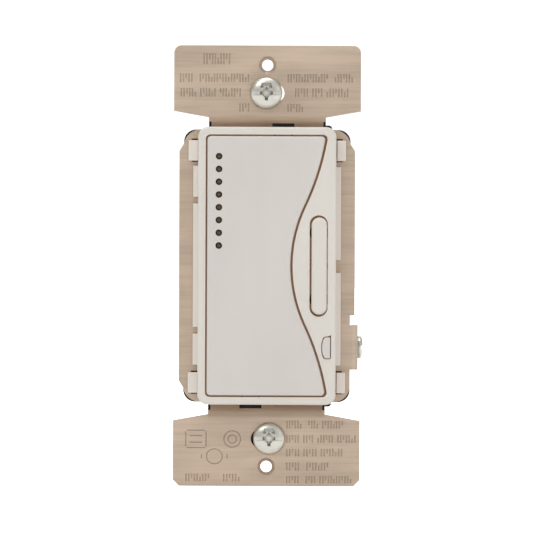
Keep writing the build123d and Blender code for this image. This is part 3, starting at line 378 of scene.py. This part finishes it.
def stamped_strap():
    """The CAD strap with generic stamped marks on both ears."""
    bm = bmesh.new()
    bm.from_mesh(NODES["strap"].data)
    bmesh.ops.remove_doubles(bm, verts=bm.verts, dist=WELD_GAP)
    bmesh.ops.dissolve_limit(bm, angle_limit=math.radians(1), verts=bm.verts, edges=bm.edges)
    strap = finished_mesh(bm, "strap_blank")

    marks = bmesh.new()
    rows = (  # left, right, top and bottom in millimetres, then where the gaps fall along the row
        (-15.3, -9.2, 51.2, 48.6, ()),
        (-21.0, -4.6, 46.3, 44.3, (0.22, 0.24)),
        (5.0, 20.4, 46.3, 44.3, (0.66, 0.7)),
        (-20.8, -6.6, 42.8, 40.8, (0.3, 0.64)),
        (6.8, 19.3, 42.8, 40.8, (0.3, 0.55)),
        (-6.6, -4.6, 39.1, 37.2, ()),
        (5.0, 8.4, 39.1, 37.2, ()),
        (5.0, 18.3, -37.3, -39.2, (0.32, 0.36, 0.62)),
        (5.0, 21.4, -40.8, -42.6, (0.2, 0.42, 0.72)),
        (5.0, 18.2, -44.1, -45.9, (0.28, 0.6)),
        (5.0, 14.8, -47.4, -49.3, (0.35, 0.4)),
        (5.0, 20.4, -50.7, -52.4, (0.22, 0.26, 0.48)),
        (-19.3, -13.9, -50.2, -52.0, ()),
        (-10.2, -6.6, -50.2, -52.0, ()),
    )
    for left, right, top, bottom, groups in rows:
        tally(marks, left, right, top, bottom, groups)
    square_left, square_right, square_top, square_bottom = -19.4, -14.5, -39.7, -43.9
    corners = [(square_left, square_top), (square_right, square_top), (square_right, square_bottom),
               (square_left, square_bottom)]
    gap = STROKE * 1.4
    for (x0, z0), (x1, z1) in zip(corners, corners[1:] + corners[:1]):
        way = Vector((x1 - x0, z1 - z0)).normalized() * gap
        groove(marks, (x0 + way.x, z0 + way.y), (x1 - way.x, z1 - way.y), FINE_STROKE)
    for z in (-41.0, -42.6):
        groove(marks, (-18.3, z), (-15.6, z), FINE_STROKE)
    ring_groove(marks, (-8.2, -41.8), 2.0, 2.0, FINE_STROKE)
    ring_groove(marks, (-8.2, -41.8), 1.0, 1.0, FINE_STROKE, steps=24)
    ring_groove(marks, (-12.5, -46.0), 1.9, 1.8, FINE_STROKE)
    for x in (-15.6, -9.4):
        groove(marks, (x, -46.4), (x, -45.6), FINE_STROKE)
    return cut(strap, finished_mesh(marks, "marks"), "strap_stamped")


ROLL_SEGMENTS = 2
ROLL_ANGLE = 40  # degrees between faces whose edge is rounded


def roll_edges(piece, width):
    """Rounds a piece's sharp edges by width millimetres, with modifiers that leave its own mesh alone."""
    weld = piece.modifiers.new("join_faces", "WELD")
    weld.merge_threshold = WELD_GAP
    bevel = piece.modifiers.new("edge_radius", "BEVEL")
    bevel.width = width * MM
    bevel.segments = ROLL_SEGMENTS
    bevel.limit_method = "ANGLE"
    bevel.angle_limit = math.radians(ROLL_ANGLE)
    bevel.harden_normals = True
    bevel.use_clamp_overlap = True


strap_piece = stand_in("strap_stamped", stamped_strap(), "strap")


# ---------------------------------------------------------------- screws
PITCH = 25.4 / 32
SIDES = 48
ROWS_PER_TURN = 8
ROOT_SHARE = 0.76  # the thread's root radius as a share of its crest
TIP_SHARE = 0.45  # the tip's radius as a share of the shank's
TIP_FLARE = 0.9  # how much wider the tip gets for each millimetre up
CROWN_STEPS = 14


def thread_ring(place, height, crest, root, phase_per_mm, taper):
    """Points around a rolled thread at one height. Taper caps the radius, which narrows the tip."""
    ring = []
    for i in range(SIDES):
        angle = math.tau * i / SIDES
        turn = (height * phase_per_mm - i / SIDES) % 1.0
        share = min(1.0, max(0.0, 2.6 * abs(2 * turn - 1) - 0.8))
        radius = min(root + (crest - root) * share, taper)
        ring.append(place @ Vector((radius * math.cos(angle), radius * math.sin(angle), height)))
    return ring


def plain_ring(place, height, radius):
    return thread_ring(place, height, radius, radius, 1.0, radius)


def screw_blank(bm, place, length, shank, head, head_height, neck, neck_length):
    """A threaded shank under a domed head, from the tip at height 0 to the crown at the full length."""
    under_head = length - head_height
    neck_start = under_head - neck_length
    rings = []
    rows = round(neck_start / (PITCH / ROWS_PER_TURN))
    for row in range(rows + 1):
        height = neck_start * row / rows
        taper = TIP_SHARE * shank + TIP_FLARE * height
        rings.append(thread_ring(place, height, shank, ROOT_SHARE * shank, 1 / PITCH, taper))
    if neck_length:
        rings.append(plain_ring(place, neck_start + 0.02, neck))
    rings.append(plain_ring(place, under_head, neck if neck_length else 0.9 * shank))
    rim = 0.3 * head_height
    rings.append(plain_ring(place, under_head, head - 0.1))
    rings.append(plain_ring(place, under_head + 0.1, head))
    for step in range(CROWN_STEPS):
        angle = math.radians(90 * step / CROWN_STEPS)
        crown_height = under_head + rim + (head_height - rim) * math.sin(angle)
        rings.append(plain_ring(place, crown_height, head * math.cos(angle) ** 0.8))
    rings.append(plain_ring(place, length, 0.12 * head))
    skin(bm, rings)


def recess(bm, place, top, slot, depth, reach, hood=False):
    """Cutters for a slot right across the head, with a cross and a diamond sunk in its middle.

    A hood is the wide relief that the punch leaves above the cross on the larger heads.
    """
    def tapered(upper, lower, bottom):
        skin(bm, [[place @ Vector((x, y, bottom)) for x, y in lower],
                  [place @ Vector((x, y, top + 0.3)) for x, y in upper]])

    def box(half_x, half_y):
        return [(-half_x, -half_y), (half_x, -half_y), (half_x, half_y), (-half_x, half_y)]

    def diamond(half):
        return [(-half, 0), (0, -half), (half, 0), (0, half)]

    half_slot = slot / 2
    arm = 0.34 * slot
    tapered(box(9, half_slot), box(9, 0.94 * half_slot), top - 0.45 * depth)
    tapered(box(0.95 * reach, arm), box(0.6 * reach, 0.8 * arm), top - depth)
    upper_arm = [(-arm, -0.95 * reach), (arm, -0.95 * reach), (arm, 0.5 * reach), (-arm, 0.5 * reach)]
    tapered(upper_arm, [(0.8 * x, 0.65 * y) for x, y in upper_arm], top - depth)
    tapered(diamond(0.8 * reach), diamond(0.55 * reach), top - 0.85 * depth)
    if hood:
        outline = [(-0.72, 0.62), (-0.4, 0.62), (-0.28, 0.86), (0.28, 0.86), (0.4, 0.62), (0.72, 0.62),
                   (0.58, 1.22), (-0.58, 1.22)]
        tapered([(x * reach, y * reach) for x, y in outline],
                [(0.95 * x * reach, (0.02 + 0.97 * y) * reach) for x, y in outline], top - 0.62 * depth)


def screw_mesh(name, places, length, shank, head, head_height, slot, neck=0.0, neck_length=0.0):
    """Screws of one size as one mesh. Each place carries the tip to the origin and the head up its Z axis."""
    blank, cutter = bmesh.new(), bmesh.new()
    for place in places:
        screw_blank(blank, place, length, shank, head, head_height, neck, neck_length)
        recess(cutter, place, length, slot, 0.85 * head_height, 0.53 * head, hood=neck > 0)
    for bm in (blank, cutter):
        bmesh.ops.scale(bm, vec=(MM, MM, MM), verts=bm.verts)
    return cut(finished_mesh(blank, name), finished_mesh(cutter, name + "_recess"), name)


def facing(axis, tip):
    """The matrix that puts a screw's tip at a point in millimetres, with its head towards axis."""
    axis = Vector(axis)
    up = Vector((0, 0, 1)) if abs(axis.z) < 0.5 else Vector((0, 1, 0))
    across = up.cross(axis)
    turn = Matrix((across, up, axis)).transposed().to_4x4()
    return Matrix.Translation(tip) @ turn


def tips(node_name, axis):
    """The tip of each screw in a CAD node, in millimetres."""
    axis = Vector(axis)
    bm = bmesh.new()
    bm.from_mesh(NODES[node_name].data)
    bmesh.ops.remove_doubles(bm, verts=bm.verts, dist=WELD_GAP)
    found, unseen = [], set(bm.verts)
    while unseen:
        island, edge_of_island = set(), [min(unseen, key=lambda v: v.index)]
        while edge_of_island:
            vert = edge_of_island.pop()
            if vert in island:
                continue
            island.add(vert)
            edge_of_island.extend(edge.other_vert(vert) for edge in vert.link_edges)
        unseen -= island
        low = Vector([min(v.co[i] for v in island) for i in range(3)]) / MM
        high = Vector([max(v.co[i] for v in island) for i in range(3)]) / MM
        middle = (low + high) / 2
        found.append((middle - axis * abs((high - low).dot(axis)) / 2, abs((high - low).dot(axis))))
    bm.free()
    return found


BOX_SCREW = {
    "shank": 1.75, "head": 3.85, "head_height": 2.1, "slot": 1.15, "neck": 1.45, "neck_length": 1.63,
}
TERMINAL_SCREW = {"shank": 1.75, "head": 3.4, "head_height": 1.8, "slot": 1.0}
SCREWS = {
    "top_mounting_screw": ((0, -1, 0), BOX_SCREW),
    "bottom_mounting_screw": ((0, -1, 0), BOX_SCREW),
    "line_screw": ((-1, 0, 0), TERMINAL_SCREW),
    "traveller_screw": ((-1, 0, 0), TERMINAL_SCREW),
    "load_screw": ((1, 0, 0), TERMINAL_SCREW),
    "ground_screw": ((1, 0, 0), {"shank": 1.75, "head": 2.75, "head_height": 1.0, "slot": 0.8}),
    "transistor_screws": ((0, 1, 0), {"shank": 1.45, "head": 2.6, "head_height": 1.5, "slot": 0.7}),
    "housing_screws": ((0, 1, 0), {"shank": 1.2, "head": 1.85, "head_height": 1.4, "slot": 0.6}),
}
for node_name, (axis, sizes) in SCREWS.items():
    found = tips(node_name, axis)
    places = [facing(axis, tip) for tip, _ in found]
    mesh = screw_mesh(node_name + "_threaded", places, found[0][1], **sizes)
    stand_in(node_name + "_threaded", mesh, node_name)


# ---------------------------------------------------------------- choke winding
def choke_winding():
    """Enamelled wire wound round the toroid, with both tails running forward to the power board."""
    core_low, core_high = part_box("choke_core")
    centre = (core_low + core_high) / 2 / MM
    board_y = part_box("power_board")[1].y / MM
    turns, wire, ring_radius = 22, 0.36, 5.6
    half_width, half_height = 1.9 + wire, (core_high.y - core_low.y) / MM / 2 + 0.1 + wire
    steps = turns * 28
    points = []
    for step in range(steps + 1):
        share = step / steps
        around = math.radians(30 + 300 * share)
        phase = math.tau * turns * share - math.pi / 2
        across = math.copysign(abs(math.cos(phase)) ** 0.45, math.cos(phase)) * half_width
        along = math.copysign(abs(math.sin(phase)) ** 0.45, math.sin(phase)) * half_height
        radius = ring_radius + across
        points.append(centre + Vector((radius * math.cos(around), along, radius * math.sin(around))))
    for end in (0, -1):
        tail = points[end].copy()
        tail.y = board_y
        points.insert(0 if end == 0 else len(points), tail)
    curve = bpy.data.curves.new("choke_winding_wire", "CURVE")
    curve.dimensions = "3D"
    curve.bevel_depth = wire * MM
    curve.bevel_resolution = 2
    curve.use_fill_caps = True
    spline = curve.splines.new("POLY")
    spline.points.add(len(points) - 1)
    for spot, point in zip(spline.points, points):
        spot.co = (*(point * MM), 1.0)
    holder = bpy.data.objects.new("winding_path", curve)
    bpy.context.scene.collection.objects.link(holder)
    graph = bpy.context.evaluated_depsgraph_get()
    mesh = bpy.data.meshes.new_from_object(holder.evaluated_get(graph))
    bpy.data.objects.remove(holder)
    mesh.shade_smooth()
    return mesh


stand_in("choke_winding_wire", choke_winding(), "choke_winding")

# ---------------------------------------------------------------- rolled edges
EDGE_RADIUS = {
    "bezel": 0.06, "paddle": 0.06, "rocker": 0.08, "airgap_tab": 0.06, "carrier_frame": 0.1,
    "rear_housing": 0.2, "ground_washer": 0.06, "top_retainer": 0.06, "bottom_retainer": 0.06,
    "line_clamp": 0.12, "traveller_clamp": 0.12, "load_clamp": 0.12, "film_capacitor": 0.1,
    "controller_chip": 0.08, "transistor_bodies": 0.12,
}
for node_name, width in EDGE_RADIUS.items():
    roll_edges(NODES[node_name], width)

# ---------------------------------------------------------------- room, light and camera
scene = bpy.context.scene
scene.view_settings.view_transform = "Standard"

floor_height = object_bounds()[0].z - 0.2 * MM
bpy.ops.mesh.primitive_grid_add(x_subdivisions=8, y_subdivisions=8, size=40, location=(0, 0, floor_height))
floor = bpy.context.object
floor.name = "floor"
floor_recipe = Recipe("pale_floor", 0.9)
grain = floor_recipe.noise(60, detail=2)
floor_recipe.put("Base Color", floor_recipe.blend(grain, (0.9, 0.9, 0.9, 1), (0.93, 0.93, 0.93, 1)))
floor_recipe.put("Emission Color", (1, 1, 1, 1))
gaze = floor_recipe.add("ShaderNodeLayerWeight", {"Blend": 0.5}).outputs["Facing"]
glow = {"Value": gaze, "From Min": 0.85, "From Max": 0.97, "To Min": 0.12, "To Max": 1.0}
floor_recipe.put("Emission Strength", floor_recipe.add("ShaderNodeMapRange", glow).outputs["Result"])
floor.data.materials.append(floor_recipe.material)
floor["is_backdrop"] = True

world = bpy.data.worlds.new("studio")
scene.world = world
world.use_nodes = True
tree = world.node_tree
soft = tree.nodes["Background"]
backdrop = tree.nodes.new("ShaderNodeBackground")
backdrop.inputs["Color"].default_value = (1, 1, 1, 1)
backdrop.inputs["Strength"].default_value = 1.15
choice = tree.nodes.new("ShaderNodeMixShader")
rays = tree.nodes.new("ShaderNodeLightPath")
where = tree.nodes.new("ShaderNodeTexCoord")
split = tree.nodes.new("ShaderNodeSeparateXYZ")
sky = tree.nodes.new("ShaderNodeValToRGB")
climb = tree.nodes.new("ShaderNodeMapRange")
climb.inputs["From Min"].default_value = -1.0
tree.links.new(where.outputs["Generated"], split.inputs[0])
tree.links.new(split.outputs["Z"], climb.inputs["Value"])
tree.links.new(climb.outputs["Result"], sky.inputs["Fac"])
sky.color_ramp.elements[0].color = (0.4, 0.385, 0.37, 1)
sky.color_ramp.elements[1].color = (1, 1, 1, 1)
tree.links.new(sky.outputs["Color"], soft.inputs["Color"])
soft.inputs["Strength"].default_value = 0.68
tree.links.new(rays.outputs["Is Camera Ray"], choice.inputs["Fac"])
tree.links.new(soft.outputs["Background"], choice.inputs[1])
tree.links.new(backdrop.outputs["Background"], choice.inputs[2])
tree.links.new(choice.outputs["Shader"], tree.nodes["World Output"].inputs["Surface"])


def softbox(name, place, size, power):
    """A square area light that faces the middle of the object."""
    light = bpy.data.lights.new(name, "AREA")
    light.size = size
    light.energy = power
    lamp = bpy.data.objects.new(name, light)
    lamp.location = place
    lamp.rotation_euler = (-Vector(place)).to_track_quat("-Z", "Y").to_euler()
    scene.collection.objects.link(lamp)


softbox("key", (-0.4, -0.6, 0.7), 0.5, 1.9)
softbox("top", (0.0, -0.12, 0.8), 0.4, 2.0)
softbox("fill", (0.7, -0.5, 0.2), 0.6, 0.45)
softbox("back_fill", (0.1, 0.9, 0.6), 0.6, 1.2)

SPAN = 128.56 * MM  # width of the view at the strap's front
LENS = 600.0
LEAN = 0.228  # degrees that the camera is rolled
camera_data = bpy.data.cameras.new("camera")
camera_data.lens = LENS
camera_data.sensor_width = 36.0
camera_data.clip_start, camera_data.clip_end = 0.01, 50
camera = bpy.data.objects.new("camera", camera_data)
distance = SPAN / 2 / math.tan(math.atan(camera_data.sensor_width / 2 / LENS))
aim = Vector((-0.09, -1.3, -0.16)) * MM
upright = Matrix.Rotation(math.radians(90), 4, "X") @ Matrix.Rotation(math.radians(LEAN), 4, "Z")
camera.matrix_world = Matrix.Translation(aim + Vector((0, -distance, 0))) @ upright
scene.collection.objects.link(camera)
scene.camera = camera

seen_low, seen_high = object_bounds()
sizes = {"cad": [list(cad_low), list(cad_high)], "visual": [list(seen_low), list(seen_high)]}
